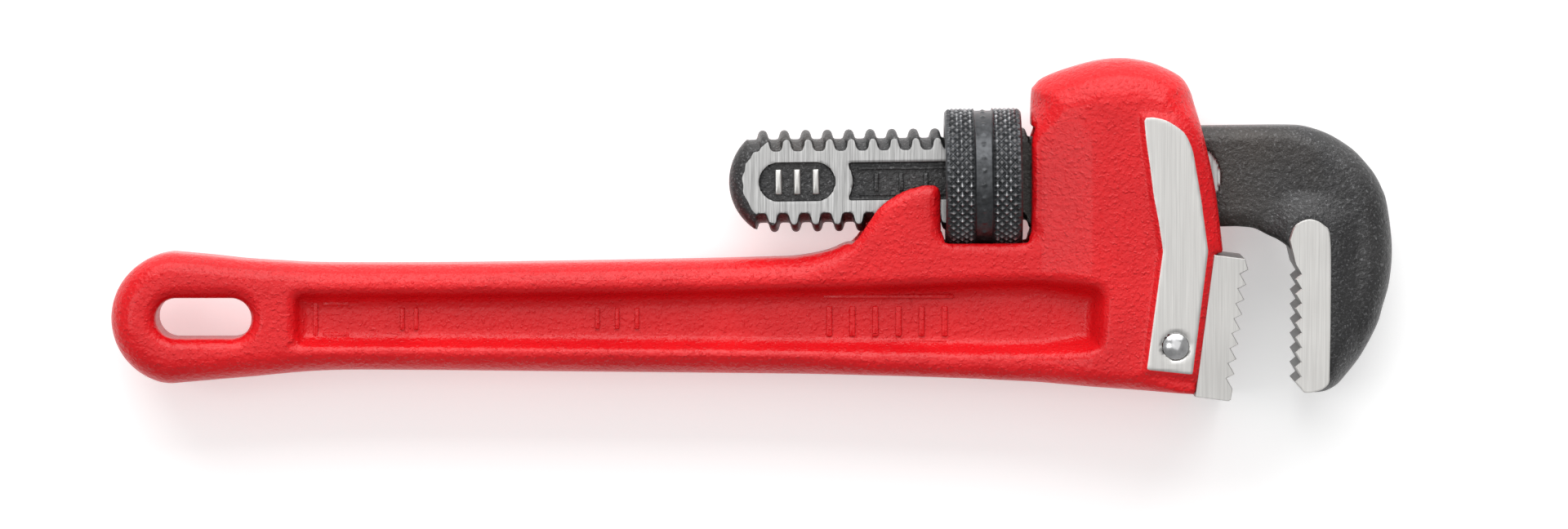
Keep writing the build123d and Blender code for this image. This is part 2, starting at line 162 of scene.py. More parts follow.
def netSurface(field, low, high, cell):
    # Surface nets: one vertex in each cell that the surface crosses, at the mean of the crossings of its
    # edges, then moved onto the surface along the field's slope, and one quad round each crossed edge.
    low, high = np.array(low, float), np.array(high, float)
    counts = np.ceil((high - low) / cell).astype(int) + 1
    axes = [low[k] + cell * np.arange(counts[k]) for k in range(3)]
    values = np.empty(counts)
    slab = 60  # rows at a time, to save memory
    for first in range(0, counts[0], slab):
        some = slice(first, first + slab)
        values[some] = field(axes[0][some, None, None], axes[1][None, :, None], axes[2][None, None, :])
    inside = values < 0
    total = np.zeros(counts - 1)
    place = np.zeros((*(counts - 1), 3))
    faces = []
    for axis in range(3):
        one, two = (axis + 1) % 3, (axis + 2) % 3
        lower = [slice(None)] * 3
        upper = [slice(None)] * 3
        lower[axis], upper[axis] = slice(0, -1), slice(1, None)
        lowValue, highValue = values[tuple(lower)], values[tuple(upper)]
        crossed = inside[tuple(lower)] != inside[tuple(upper)]
        where = np.argwhere(crossed)
        share = lowValue[crossed] / (lowValue[crossed] - highValue[crossed])
        point = where.astype(float)
        point[:, axis] += share
        corners = []
        for stepOne, stepTwo in ((-1, -1), (0, -1), (0, 0), (-1, 0)):
            cellIndex = where.copy()
            cellIndex[:, one] += stepOne
            cellIndex[:, two] += stepTwo
            np.add.at(total, tuple(cellIndex.T), 1)
            np.add.at(place, tuple(cellIndex.T), point)
            corners.append(cellIndex)
        turn = inside[tuple(lower)][crossed]
        quad = np.stack([np.ravel_multi_index(c.T, total.shape) for c in corners], 1)
        faces.append(np.where(turn[:, None], quad, quad[:, ::-1]))
    active = total.ravel() > 0
    number = np.full(total.size, -1)
    number[active] = np.arange(active.sum())
    points = place.reshape(-1, 3)[active] / total.ravel()[active][:, None] * cell + low
    quads = number[np.vstack(faces)]
    small = cell * 0.05
    for _ in range(3):
        x, y, z = points.T
        value = field(x, y, z)
        slope = np.stack([field(x + small, y, z) - field(x - small, y, z),
                          field(x, y + small, z) - field(x, y - small, z),
                          field(x, y, z + small) - field(x, y, z - small)], 1) / (2 * small)
        move = value[:, None] * slope / np.maximum((slope**2).sum(1), 0.2)[:, None]
        length = np.linalg.norm(move, axis=1)[:, None]
        points = points - move * np.minimum(1, 0.4 * cell / np.maximum(length, 1e-9))
    return points, quads.tolist()


def gridFaces(rows, columns, closedRows=False, closedColumns=True):
    # quads between neighbouring rows and columns, whose normals are row direction cross column direction
    i = np.arange(rows if closedRows else rows - 1)[:, None]
    j = np.arange(columns if closedColumns else columns - 1)[None, :]
    nextI, nextJ = (i + 1) % rows, (j + 1) % columns
    quad = [i * columns + j, nextI * columns + j, nextI * columns + nextJ, i * columns + nextJ]
    return np.stack([np.broadcast_to(q, np.broadcast(i, j).shape).ravel() for q in quad], 1)


def lathe(profile, columns):
    # a profile of (radius, height) turned round the z axis; its first and last points are on the axis
    profile = np.array(profile, float)
    angle = 2 * np.pi * np.arange(columns) / columns
    radius, height = profile[1:-1, 0][:, None], profile[1:-1, 1][:, None]
    ring = np.stack(np.broadcast_arrays(radius * np.cos(angle), radius * np.sin(angle), height), 2)
    ring = ring.reshape(-1, 3)
    points = np.vstack([ring, [[0, 0, profile[0, 1]], [0, 0, profile[-1, 1]]]])
    faces = [list(face[::-1]) for face in gridFaces(len(profile) - 2, columns)]
    first, last, top = len(ring), len(ring) + 1, len(ring) - columns
    for j in range(columns):
        after = (j + 1) % columns
        faces.append([first, after, j])
        faces.append([last, top + j, top + after])
    return points, faces


def insetOutline(outline, amount):
    # every corner moved inwards along its mitre, for an outline that runs anticlockwise
    before, after = outline - np.roll(outline, 1, 0), np.roll(outline, -1, 0) - outline
    before /= np.linalg.norm(before, axis=1)[:, None]
    after /= np.linalg.norm(after, axis=1)[:, None]
    normal = np.stack([-before[:, 1] - after[:, 1], before[:, 0] + after[:, 0]], 1)
    size = 1 + (before * after).sum(1)
    return outline + amount * normal / np.maximum(size, 0.35)[:, None]


def bevelledPlate(outline, half, bevel):
    # an anticlockwise outline given a thickness, its two rims bevelled
    small = insetOutline(outline, bevel)
    count = len(outline)
    levels = [(small, -half), (outline, -half + bevel), (outline, half - bevel), (small, half)]
    points = np.vstack([np.column_stack([line, np.full(count, z)]) for line, z in levels])
    i = np.arange(count)
    after = (i + 1) % count
    faces = [list(range(count))[::-1]]
    for k in range(3):
        low, high = k * count, (k + 1) * count
        faces += np.stack([low + i, low + after, high + after, high + i], 1).tolist()
    faces.append(list(range(3 * count, 4 * count)))
    return points, faces


def newPiece(name, parts, plane, materials, body, node, smoothAngle=40):
    # joins (points, faces, material number) parts into one mesh and gives it its place, body and finish;
    # a part with a fourth value is shaded flat, and a piece without a body is left unparented for its maker
    # to place
    points, faces, numbers, flats = [], [], [], []
    start = 0
    for partPoints, partFaces, number, *flat in parts:
        points.append(placed(np.asarray(partPoints, float), plane))
        faces += [[index + start for index in face] for face in partFaces]
        numbers.append(np.broadcast_to(number, len(partFaces)))
        flats.append(np.full(len(partFaces), bool(flat)))
        start += len(partPoints)
    mesh = bpy.data.meshes.new(name)
    mesh.from_pydata(np.vstack(points).tolist(), [], faces)
    mesh.polygons.foreach_set("material_index", np.concatenate(numbers).astype(np.int32))
    for material in materials:
        mesh.materials.append(material)
    if mesh.validate():
        print("repaired", name)
    piece = bpy.data.objects.new(name, mesh)
    bpy.context.scene.collection.objects.link(piece)
    mesh.set_sharp_from_angle(angle=np.radians(smoothAngle))
    mesh.polygons.foreach_set("use_smooth", ~np.concatenate(flats))
    if body:
        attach(piece, body)
    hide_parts(node)
    print("made", name, len(mesh.vertices), "vertices")
    return piece


def addValues(piece, name, values):
    attribute = piece.data.attributes.new(name, "FLOAT", "POINT")
    attribute.data.foreach_set("value", np.asarray(values, np.float32))


class Finish:
    # a material with its shader, and short ways to add nodes to it
    def __init__(self, name, settings):
        self.material = bpy.data.materials.new(name)
        self.material.use_nodes = True
        self.nodes = self.material.node_tree.nodes
        self.links = self.material.node_tree.links
        self.shader = self.nodes["Principled BSDF"]
        self.place = self.nodes.new("ShaderNodeTexCoord").outputs["Object"]
        for socket, value in settings.items():
            self.shader.inputs[socket].default_value = value

    def link(self, value, target):  # value is a node's output, or a number or colour
        if hasattr(value, "is_output"):
            self.links.new(value, target)
        else:
            target.default_value = value

    def noise(self, scale, detail=2, stretch=(1, 1, 1), turn=0, roughness=0.5):
        mapping = self.nodes.new("ShaderNodeMapping")
        mapping.inputs["Scale"].default_value = stretch
        mapping.inputs["Rotation"].default_value = (0, 0, turn)
        self.links.new(self.place, mapping.inputs["Vector"])
        texture = self.nodes.new("ShaderNodeTexNoise")
        texture.inputs["Scale"].default_value = scale
        texture.inputs["Detail"].default_value = detail
        texture.inputs["Roughness"].default_value = roughness
        self.links.new(mapping.outputs["Vector"], texture.inputs["Vector"])
        return texture.outputs["Fac"]

    def between(self, value, fromLow, fromHigh, toLow, toHigh):
        node = self.nodes.new("ShaderNodeMapRange")
        limits = {"From Min": fromLow, "From Max": fromHigh, "To Min": toLow, "To Max": toHigh}
        for socket, limit in limits.items():
            node.inputs[socket].default_value = limit
        self.link(value, node.inputs["Value"])
        return node.outputs["Result"]

    def maths(self, kind, a, b):
        node = self.nodes.new("ShaderNodeMath")
        node.operation = kind
        self.link(a, node.inputs[0])
        self.link(b, node.inputs[1])
        return node.outputs[0]

    def mix(self, share, a, b, kind="RGBA"):
        node = self.nodes.new("ShaderNodeMix")
        node.data_type = kind
        self.link(share, node.inputs["Factor"])
        self.link(a, node.inputs["A"])
        self.link(b, node.inputs["B"])
        return node.outputs["Result"]

    def attribute(self, name):
        node = self.nodes.new("ShaderNodeAttribute")
        node.attribute_name = name
        return node.outputs["Fac"]

    def bump(self, height, distance, strength=1.0, after=None):
        node = self.nodes.new("ShaderNodeBump")
        node.inputs["Distance"].default_value = distance
        node.inputs["Strength"].default_value = strength
        self.link(height, node.inputs["Height"])
        if after is not None:
            self.links.new(after, node.inputs["Normal"])
        return node.outputs["Normal"]

    def wear(self, outputs):  # links node outputs to the shader's sockets
        for socket, output in outputs.items():
            self.links.new(output, self.shader.inputs[socket])
        return self.material


print("materials")
enamelLook = {
    "red": (0.70, 0.006, 0.010, 1), "deep": (0.60, 0.004, 0.008, 1), "roughness": 0.32,
    "peelScale": 1000, "peelDepth": 0.0003, "pimpleScale": 1500, "castScale": 210, "castDepth": 0.0003,
}
enamelShader = {"Specular IOR Level": 0.26, "Coat Weight": 0.15, "Coat Roughness": 0.12}
steelLook = {
    "light": (0.66, 0.65, 0.63), "dark": (0.52, 0.51, 0.495), "lineScale": 60, "lineStretch": (110, 1, 1),
    "lineDepth": 0.000012, "roughness": 0.42,
}
forgingLook = {
    "black": (0.013, 0.013, 0.014, 1), "wearAndSheen": (0.034, 0.033, 0.033, 1), "speck": (0.20, 0.20, 0.205, 1),
    "brown": (0.060, 0.043, 0.030, 1), "grainScale": 950, "grainDepth": 0.00035, "metal": 0.35,
    "roughness": 0.38, "groundDark": (0.26, 0.258, 0.256, 1), "groundLight": (0.62, 0.618, 0.612, 1),
    "groundRoughness": 0.36, "groundDepth": 0.00002,
}


def enamelFinish():
    # glossy paint with orange peel and pimples over a cast skin
    look = enamelLook
    finish = Finish("red_enamel", enamelShader)
    cloud = finish.noise(60, 3)
    colour = finish.mix(finish.between(cloud, 0.35, 0.65, 0, 1), look["red"], look["deep"])
    peel = finish.noise(look["peelScale"], 2, roughness=0.55)
    pimples = finish.between(finish.noise(look["pimpleScale"], 1), 0.55, 0.75, 0, 1)
    casting = finish.bump(finish.noise(look["castScale"], 2), look["castDepth"], 0.6)
    height = finish.maths("ADD", peel, finish.maths("MULTIPLY", pimples, 0.35))
    normal = finish.bump(height, look["peelDepth"], 1.0, casting)
    # steel where the pads are ground: inside their outline and near their height
    ground = finish.between(finish.attribute("groundEdge"), -0.04, 0.04, 1, 0)
    lines = finish.noise(steelLook["lineScale"], 2, steelLook["lineStretch"], roughness=0.7)
    smear = finish.noise(120, 3)
    shade = finish.between(lines, 0.3, 0.7, 0, 1)
    steel = finish.mix(shade, (*steelLook["dark"], 1), (*steelLook["light"], 1))
    steelNormal = finish.bump(finish.maths("ADD", lines, smear), 0.00001, 0.5)
    return finish.wear({
        "Base Color": finish.mix(ground, colour, steel),
        "Metallic": ground,
        "Normal": finish.mix(ground, normal, steelNormal, "VECTOR"),
        "Roughness": finish.between(ground, 0, 1, look["roughness"], steelLook["roughness"]),
    })


def groundFinish(name, turn, light):
    # lines left by the grinding wheel, along one direction
    look = steelLook
    finish = Finish(name, {"Metallic": 1.0})
    lines = finish.noise(look["lineScale"], 2, look["lineStretch"], turn, 0.7)
    cloud = finish.noise(90, 3)
    dark = (*(channel * light for channel in look["dark"]), 1)
    pale = (*(channel * light for channel in look["light"]), 1)
    return finish.wear({
        "Base Color": finish.mix(finish.between(lines, 0.3, 0.7, 0, 1), dark, pale),
        "Roughness": finish.between(cloud, 0.3, 0.7, 0.36, 0.48),
        "Normal": finish.bump(lines, look["lineDepth"], 0.6),
    })


def forgingFinish():
    # black oxide on a forged skin, bright where the shank's flats are ground
    look = forgingLook
    finish = Finish("black_forging", {"Specular IOR Level": 0.75})
    grain = finish.noise(look["grainScale"], 4, roughness=0.65)
    cloud = finish.noise(70, 3)
    black = finish.mix(finish.between(cloud, 0.3, 0.7, 0, 1), look["black"], look["wearAndSheen"])
    speck = finish.between(finish.noise(2100, 3, roughness=0.6), 0.56, 0.72, 0, 0.7)
    black = finish.mix(speck, black, look["speck"])
    brown = finish.between(finish.noise(38, 2), 0.52, 0.70, 0, 0.35)
    black = finish.mix(brown, black, look["brown"])
    ground = finish.between(finish.attribute("groundEdge"), -0.03, 0.03, 1, 0)
    lines = finish.noise(70, 3, (70, 1, 1), roughness=0.8)
    steel = finish.mix(finish.between(lines, 0.32, 0.68, 0, 1), look["groundDark"], look["groundLight"])
    skin = finish.bump(grain, look["grainDepth"], 1.0)
    cut = finish.bump(lines, look["groundDepth"], 0.8)
    return finish.wear({
        "Base Color": finish.mix(ground, black, steel),
        "Metallic": finish.between(ground, 0, 1, look["metal"], 1.0),
        "Roughness": finish.between(ground, 0, 1, look["roughness"], look["groundRoughness"]),
        "Normal": finish.mix(ground, skin, cut, "VECTOR"),
    })


def grainedFinish(name, look):
    # plain metal with a grain; its tips, if it has any, are painted bright: a painted highlight on the
    # knurl's pyramids, which also stands for rubbed wear
    finish = Finish(name, {"Metallic": look["metal"]})
    grain = finish.noise(look["grainScale"], 3, roughness=0.6)
    pale = [min(1, channel * 1.9) for channel in look["colour"]]
    tint = finish.mix(finish.between(grain, 0.35, 0.75, 0, 1), (*look["colour"], 1), (*pale, 1))
    if "tips" in look:
        # painted highlight: the knurl's tips are mixed toward a bright grey, and the valleys keep the dark
        # colour
        wearAndSheen = finish.between(finish.maths("ADD", finish.attribute("tips"), grain), 0.85, 1.4, 0, 0.85)
        tint = finish.mix(wearAndSheen, tint, (*look["tips"], 1))
    smoothest, roughest = look["roughness"] - 0.06, look["roughness"] + 0.08
    return finish.wear({
        "Base Color": tint,
        "Roughness": finish.between(grain, 0.3, 0.7, smoothest, roughest),
        "Normal": finish.bump(grain, look["grainDepth"], 0.7),
    })


grainedLooks = {
    "rough_steel": {"colour": (0.30, 0.295, 0.29), "roughness": 0.5, "metal": 0.9,
                    "grainScale": 1200, "grainDepth": 0.0003},
    "gullet_steel": {"colour": (0.15, 0.148, 0.145), "roughness": 0.45, "metal": 0.6,
                     "grainScale": 800, "grainDepth": 0.0002},
    "pin_steel": {"colour": (0.52, 0.52, 0.525), "roughness": 0.24, "metal": 1.0,
                  "grainScale": 300, "grainDepth": 0.00001},
    "dark_nut": {"colour": (0.045, 0.047, 0.050), "roughness": 0.32, "metal": 0.75,
                 # the tips colour is the painted highlight on the knurl's pyramids
                 "grainScale": 1100, "grainDepth": 0.00004, "tips": (0.50, 0.50, 0.51)},
    "spring_steel": {"colour": (0.17, 0.175, 0.19), "roughness": 0.32, "metal": 1.0,
                     "grainScale": 500, "grainDepth": 0.00001},
}
redEnamel = enamelFinish()
blackForging = forgingFinish()
padSteel = groundFinish("pad_steel", 0, 1.02)
heelSteel = groundFinish("heel_steel", float(seatLean), 0.93)
grained = {name: grainedFinish(name, look) for name, look in grainedLooks.items()}

print("handle casting")
castingShape = {
    "gripHalf": 7.8, "housingHalf": 8.0, "headRise": 2.6, "padHalf": 11.4, "webHalf": 3.9, "draft": 0.36,
    "gripRim": 4.7, "humpRim": 3.0, "neckRim": 3.6, "wallRim": 1.3, "crownRim": 8.2, "frontRim": 2.5,
    "seatRim": 0.9, "padSlope": 0.8, "padSpread": 1.5, "padFoot": 0.7, "webFillet": 1.6, "webRim": 1.4,
    "holeCentre": (-99.6, -15.85), "holeHalfLength": 5.0, "holeRadius": 3.7, "holeRim": 2.6,
    "troughRadius": 13.3, "troughMiddle": 0.4, "troughHalf": 7.65, "tunnelHalf": 6.2, "roof": 9.4,
    "floorHeight": -2.1, "floorFall": 0.0072, "floorFrom": -37.5, "coilPocket": 3.1, "coilX": 58.0,
    "pocketBottom": -8.6, "pocketTop": -1.0, "slotHalf": 4.05, "slotDepth": 9.35, "slotTop": -2.95,
    "slotBottom": -23.55,
    "pinPlace": (76.97, -20.6), "pinRadius": 2.42, "markHeight": 0.45, "cell": 0.56,
}
lobeCentre, lobeRadius = (-104.5, -15.9), 12.05
lobeAngle = np.radians(np.arange(262, 89, -6))
lobe = lobeCentre + lobeRadius * np.stack([np.cos(lobeAngle), np.sin(lobeAngle)], 1)
castingOutline = np.vstack([
    smoothLine([(80.54, -29.39), (74.3, -29.0), (62.5, -28.2), (50.6, -27.35), (38.7, -26.75),
                (20.9, -26.2), (-3.0, -25.9), (-32.8, -25.6), (-60.0, -25.35), (-77.5, -25.4),
                (-91.9, -26.6), lobe[0]])[:-1],
    lobe[1:-1],
    smoothLine([lobe[-1], (-98.4, -4.5), (-91.9, -5.2), (-84.8, -5.65), (-77.5, -5.95), (-56.6, -5.95),
                (-32.8, -5.65), (-8.9, -5.2), (3.0, -4.9), (8.9, -4.6), (14.9, -3.3), (18.6, -0.9),
                (20.9, 2.1), (23.1, 5.0), (26.8, 7.5), (30.5, 8.8), (33.5, 8.9), (34.6, 8.1),
                (34.9, 6.5)])[:-1],
    smoothLine([(34.9, 6.5), (34.92, 1.8), (35.2, -0.2), (36.4, -1.1), (38.2, -1.2)])[:-1],
    smoothLine([(38.2, -1.2), (47.4, -1.2), (49.4, -0.6), (50.6, 1.1), (50.9, 3.6)])[:-1],
    smoothLine([(50.9, 3.6), (50.9, 14.0), (50.9, 24.6), (51.6, 26.5), (53.0, 27.8), (56.6, 29.3),
                (62.4, 30.9), (67.3, 31.4), (71.5, 30.9), (74.2, 30.1), (77.0, 28.8), (78.6, 27.6),
                (79.9, 25.4), (80.6, 23.0), (82.3, 16.6), (84.1, 8.4), (85.2, 0.2), (85.6, -3.2)])[:-1],
    np.array([(85.6, -3.6), seatTop]),
])
recessOutline = np.vstack([
    smoothLine([(-9.0, -21.4), (-50.0, -21.1), (-80.6, -20.9), (-82.6, -20.2), (-83.3, -18.4)])[:-1],
    smoothLine([(-83.3, -18.4), (-83.3, -12.9), (-82.7, -11.6), (-81.2, -11.1)])[:-1],
    smoothLine([(-81.2, -11.1), (-77.5, -11.1), (-40.0, -10.9), (-8.9, -10.5), (20.9, -9.7),
                (47.7, -8.8), (60.6, -9.2)])[:-1],
    smoothLine([(60.6, -9.3), (63.2, -9.9), (64.3, -11.9)])[:-1],
    smoothLine([(64.3, -11.9), (63.9, -18.9)])[:-1],
    smoothLine([(63.9, -18.9), (63.2, -20.9), (61.0, -21.7)])[:-1],
    smoothLine([(61.0, -21.7), (47.7, -22.2), (20.9, -21.8), (-9.0, -21.4)])[:-1],
])
padOutline = np.vstack([
    np.array([(71.0, 21.0)]),
    smoothLine([(72.8, 21.1), (75.2, 20.5), (77.5, 19.1), (78.8, 17.8), (80.0, 15.1), (80.7, 11.4),
                (81.5, 6.8), (82.0, 3.2), (82.9, -3.3)])[:-1],
    np.array([(82.9, -3.3), (80.1, -25.8), (71.6, -24.9)]),
    smoothLine([(74.5, -3.3), (73.7, 2.0), (72.8, 6.8), (72.2, 11.4), (71.5, 16.2), (71.0, 21.0)])[:-1],
])
castingLook = outlineField(castingOutline)
recessLook = outlineField(recessOutline)
padLook = outlineField(padOutline)


def jawPlace(x, y):  # drawing to jaw coordinates, along and across the screw
    dx, dy = x - screwPlace[0], y - screwPlace[1]
    return dx * screwAxis[0] + dy * screwAxis[1], -dx * screwAxis[1] + dy * screwAxis[0]


def castingField(x, y, z):
    # the outline given a thickness and a rounded rim, plus the pads, minus the recess and the openings
    shape = castingShape
    high = np.abs(z)
    half = blend(shape["gripHalf"], shape["housingHalf"], ease(x, 5, 15))
    # the cheeks rise to a crisp ridge that dies out in the crown
    half = half + shape["headRise"] * blend(ramp(x, 52.5, 62.3), ease(x, 50, 66), ease(y, 13, 21))
    # the rim: full on the grip, crisp on the wall behind the nut, large over the crown, small by the seat
    crown = ease(y, 15, 25) * ease(x, 46, 52)
    wall = ease(x, 46, 50) * (1 - ease(x, 53, 60)) * ease(y, -1, 3)
    rim = blend(shape["gripRim"], shape["humpRim"], ease(x, 8, 24))
    rim = blend(rim, shape["neckRim"], ease(x, 46, 52))
    rim = blend(rim, shape["wallRim"], wall)
    rim = blend(rim, shape["crownRim"], crown)
    front = blend(shape["seatRim"], shape["frontRim"], ease(y, -6, -2))
    rim = blend(rim, front, ease(x, 69, 79) * (1 - crown))
    field = roundMax(castingLook(x, y), high - half, np.minimum(rim, half - 0.3))
    # the raised pads, with sloping painted sides
    slope = padLook(x, y) - np.minimum(shape["padHalf"] - high, shape["padSpread"]) * shape["padSlope"]
    slope = slope / np.hypot(1, shape["padSlope"])
    field = roundMin(field, roundMax(slope, high - shape["padHalf"], 0.12), shape["padFoot"])
    # the recess, with drafted walls
    side = recessLook(x, y) + (half - high) * shape["draft"]
    field = carve(field, roundMax(side, shape["webHalf"] - high, shape["webFillet"]), shape["webRim"])
    # the hang hole
    centreX, centreY = shape["holeCentre"]
    past = np.maximum(np.abs(x - centreX) - shape["holeHalfLength"], 0)
    field = carve(field, np.hypot(past, y - centreY) - shape["holeRadius"], shape["holeRim"])
    # the trough for the nut and the tunnel for the shank
    u, v = jawPlace(x, y)
    trough = np.maximum(np.hypot(v, z) - shape["troughRadius"],
                        np.abs(u - shape["troughMiddle"]) - shape["troughHalf"])
    field = carve(field, trough, 0.4)
    floor = shape["floorHeight"] - shape["floorFall"] * (u - shape["floorFrom"])
    tunnel = np.maximum(np.maximum(high - shape["tunnelHalf"], v - shape["roof"]), floor - y)
    field = carve(field, tunnel, 0.6)
    # the pocket for the coil spring, the slot for the heel jaw's tongue and the hole for the pin
    pocket = np.maximum(np.hypot(x - shape["coilX"], z) - shape["coilPocket"],
                        np.maximum(shape["pocketBottom"] - y, y - shape["pocketTop"]))
    field = np.maximum(field, -pocket)
    p = (x - seatTop[0]) * seatOut[0] + (y - seatTop[1]) * seatOut[1]
    q = (x - seatTop[0]) * seatUp[0] + (y - seatTop[1]) * seatUp[1]
    slot = np.maximum(np.maximum(high - shape["slotHalf"], -shape["slotDepth"] - p),
                      np.maximum(q - shape["slotTop"], shape["slotBottom"] - q))
    field = np.maximum(field, -slot)
    pinX, pinY = shape["pinPlace"]
    return np.maximum(field, shape["pinRadius"] - np.hypot(x - pinX, y - pinY))


barShape = {"rings": 7, "columns": 48, "squareness": 6, "sunk": 0.3}


def castBar(start, end, width, height, floorHeight, side):
    # a low raised bar on a floor: a superellipse plan, stretched from start to end, whose height falls
    # off to its edge as the square root of a cosine
    rings, columns, power = barShape["rings"], barShape["columns"], barShape["squareness"]
    start, end = np.array(start), np.array(end)
    middle = (start + end) / 2
    reach = np.hypot(*(end - start))
    ahead = (end - start) / reach
    t = np.linspace(0, 1, rings)[1:][:, None]
    angle = 2 * np.pi * np.arange(columns) / columns
    plan = (np.abs(np.cos(angle)) ** power + np.abs(np.sin(angle)) ** power) ** (-1 / power)
    spread = 0.25 + 0.25 * np.sin(t * np.pi / 2)
    along = spread * plan * np.cos(angle)
    along = along * width + np.clip(along * 4, -1, 1) * reach / 2
    across = spread * plan * np.sin(angle) * width
    x = middle[0] + along * ahead[0] - across * ahead[1]
    y = middle[1] + along * ahead[1] + across * ahead[0]
    z = floorHeight + height * np.cos(t * np.pi / 2) ** 0.5 + np.zeros_like(angle)
    top = np.stack([x, y, z], 2).reshape(-1, 3)
    foot = np.column_stack([x[-1], y[-1], np.full(columns, floorHeight - barShape["sunk"])])
    points = np.vstack([top, foot, [*middle, floorHeight + height]])
    points[:, 2] *= side
    faces = gridFaces(rings, columns).tolist()
    last = (rings - 1) * columns
    faces += [[len(points) - 1, j, (j + 1) % columns] for j in range(columns)]
    faces.append(list(range(last, last + columns))[::-1])
    if side < 0:
        faces = [face[::-1] for face in faces]
    return points, faces


# plain raised bars, as start, end and width, stand where such castings carry their marks
webMarks = [((-79.3, -18.6), (-79.3, -13.4), 0.9), ((-77.6, -18.9), (-73.6, -18.9), 0.8),
            ((-77.6, -13.2), (-73.6, -13.2), 0.8)]
webMarks += [((x, -17.6), (x, -14.4), 0.8) for x in (-63.5, -61.0)]
webMarks += [((x, -17.4), (x, -14.4), 0.8) for x in (-28.0, -24.4, -20.8)]
webMarks += [((13.4, -11.9), (36.5, -11.9), 0.7)]
webMarks += [((x, -18.6), (x, -14.2), 1.1) for x in (14.2, 18.4, 22.6, 26.8, 31.0, 35.2)]
webMarks += [((14.2, -20.2), (35.2, -20.2), 0.6)]


def makeCasting():
    shape = castingShape
    margin = 1.5
    low, high = castingOutline.min(0) - margin, castingOutline.max(0) + margin
    top = shape["padHalf"] + 1.2
    points, faces = netSurface(castingField, (*low, -top), (*high, top), shape["cell"])
    parts = [(points, faces, 0)]
    for start, end, width in webMarks:
        for side in (1, -1):
            bar = castBar(start, end, width, shape["markHeight"], shape["webHalf"], side)
            parts.append((*bar, 0))
    materials = [redEnamel]
    piece = newPiece("handle_casting", parts, drawingPlane, materials, "handle", "handle", 50)
    # how far outside the ground faces of the pads each point lies; the bars are painted all over
    outside = np.maximum(padLook(points[:, 0], points[:, 1]) + 0.12,
                         shape["padHalf"] - 0.5 - np.abs(points[:, 2]))
    values = np.full(len(piece.data.vertices), 5.0)
    values[: len(points)] = outside
    addValues(piece, "groundEdge", values)


makeCasting()

print("hook jaw")
hookShape = {
    "pitch": 3.92, "crest": 9.3, "root": 7.6, "phase": -8.68, "crestHalf": 0.575, "baseHalf": 1.05,
    "threadStart": -45.3, "threadStagger": 1.4, "noseCentre": -35.9, "noseRadius": 10.4, "noseEnd": -38,
    "flatHalf": 5.0, "flatRim": 2.8, "waistDepth": 0.4, "armStart": 15.0, "armHalf": 5.8, "hookHalf": 6.4,
    "padHalf": 8.7, "cheekRise": 1.7, "armRim": 3.0, "curveRim": 5.4, "throatSharpening": 1.6,
    "trackEnd": 36.6, "trackHalf": 6.5, "cell": 0.37,
}
panelShape = {
    "depth": 1.0, "shortMiddle": -33.9, "shortHalf": 3.4, "shortRadius": 3.45, "longHalfWidth": 3.35,
    "longStart": -24.4, "longEnd": 1.0, "hollowCentre": -29.2, "hollowRadius": 5.5,
}
jawTeeth = {"top": (56.25, -16.0), "pitch": 2.66, "depth": 1.05, "floor": 0.66, "count": 8}
hookOutline = np.vstack([
    np.array([(15.0, 9.25), (17.0, 9.25)]),
    smoothLine([(50.0, 9.15), (56.0, 9.1), (58.3, 8.93), (60.7, 8.31), (63.05, 7.38), (65.4, 6.0),
                (67.8, 4.19), (70.1, 1.63), (71.3, 0), (72.4, -2.1), (73.5, -5.4), (74.35, -13.2),
                (73.8, -19.6), (72.5, -24.3), (71.8, -26.7), (70.7, -29.1), (69.5, -31.3), (68.0, -33.7),
                (66.1, -36.0), (64.0, -38.2), (61.9, -39.3), (60.4, -39.5)]),
    np.array([(58.2, -39.5), (57.3, -38.0), (57.3, -16.5)]),
    smoothLine([(57.0, -15.9), (56.2, -14.3), (55.2, -12.9), (53.3, -11.5), (52.1, -10.95),
                (50.9, -10.35), (49.7, -9.7), (48.5, -9.35), (46.0, -9.1)]),
    np.array([(17.0, -9.25), (15.0, -9.25)]),
])[::-1]
hookPadOutline = np.vstack([
    smoothLine([(62.3, -37.0), (62.66, -24.0), (62.7, -11.5), (61.6, -8.9), (58.95, -7.75),
                (56.3, -8.9), (55.2, -11.5)])[:-1],
    np.array([(55.2, -11.5)]),
])
# the teeth run down the block square to the screw, each a long flank and a short one
hookDown = np.array([-screwAxis[1], -screwAxis[0]])
hookIn = np.array([screwAxis[0], -screwAxis[1]])
toothDown = jawTeeth["pitch"] * hookDown
toothTops = np.array(jawTeeth["top"]) + np.arange(jawTeeth["count"] + 1)[:, None] * toothDown
toothFloors = toothTops + jawTeeth["floor"] * toothDown + jawTeeth["depth"] * hookIn
hookTeeth = np.stack([toothTops, toothFloors], 1).reshape(-1, 2)[:-1]
hookBlock = np.vstack([
    hookPadOutline, hookTeeth, [(57.7, -39.3), (59.0, -39.3)],
    smoothLine([(59.0, -39.3), (61.0, -38.75), (62.1, -37.8), (62.3, -37.0)])[1:-1],
])
hookLook = outlineField(hookOutline)
blockLook = outlineField(hookBlock)


def threadField(u, v, z):
    # trapezoid teeth on a right-hand helix: the distance along the screw from the nearest tooth's middle
    # falls off by a pitch a turn
    shape = hookShape
    radius = np.hypot(v, z)
    turned = np.arctan2(z, v) / (2 * np.pi)
    local = (u - shape["phase"]) / shape["pitch"] - turned
    local = np.abs(local - np.round(local)) * shape["pitch"]
    flank = (shape["baseHalf"] - shape["crestHalf"]) / (shape["crest"] - shape["root"])
    tooth = (local - shape["baseHalf"] + (radius - shape["root"]) * flank) / np.hypot(1, flank)
    tooth = roundMax(tooth, radius - shape["crest"], 0.5)
    tooth = np.maximum(tooth, shape["threadStart"] + shape["threadStagger"] * (v < 0) - u)
    nose = np.hypot(u - shape["noseCentre"], v) - shape["noseRadius"]
    nose = np.where(u < shape["noseEnd"], nose, -20.0)
    core = roundMax(radius - shape["root"], nose, 0.5)
    return roundMin(core, tooth, 0.45), nose


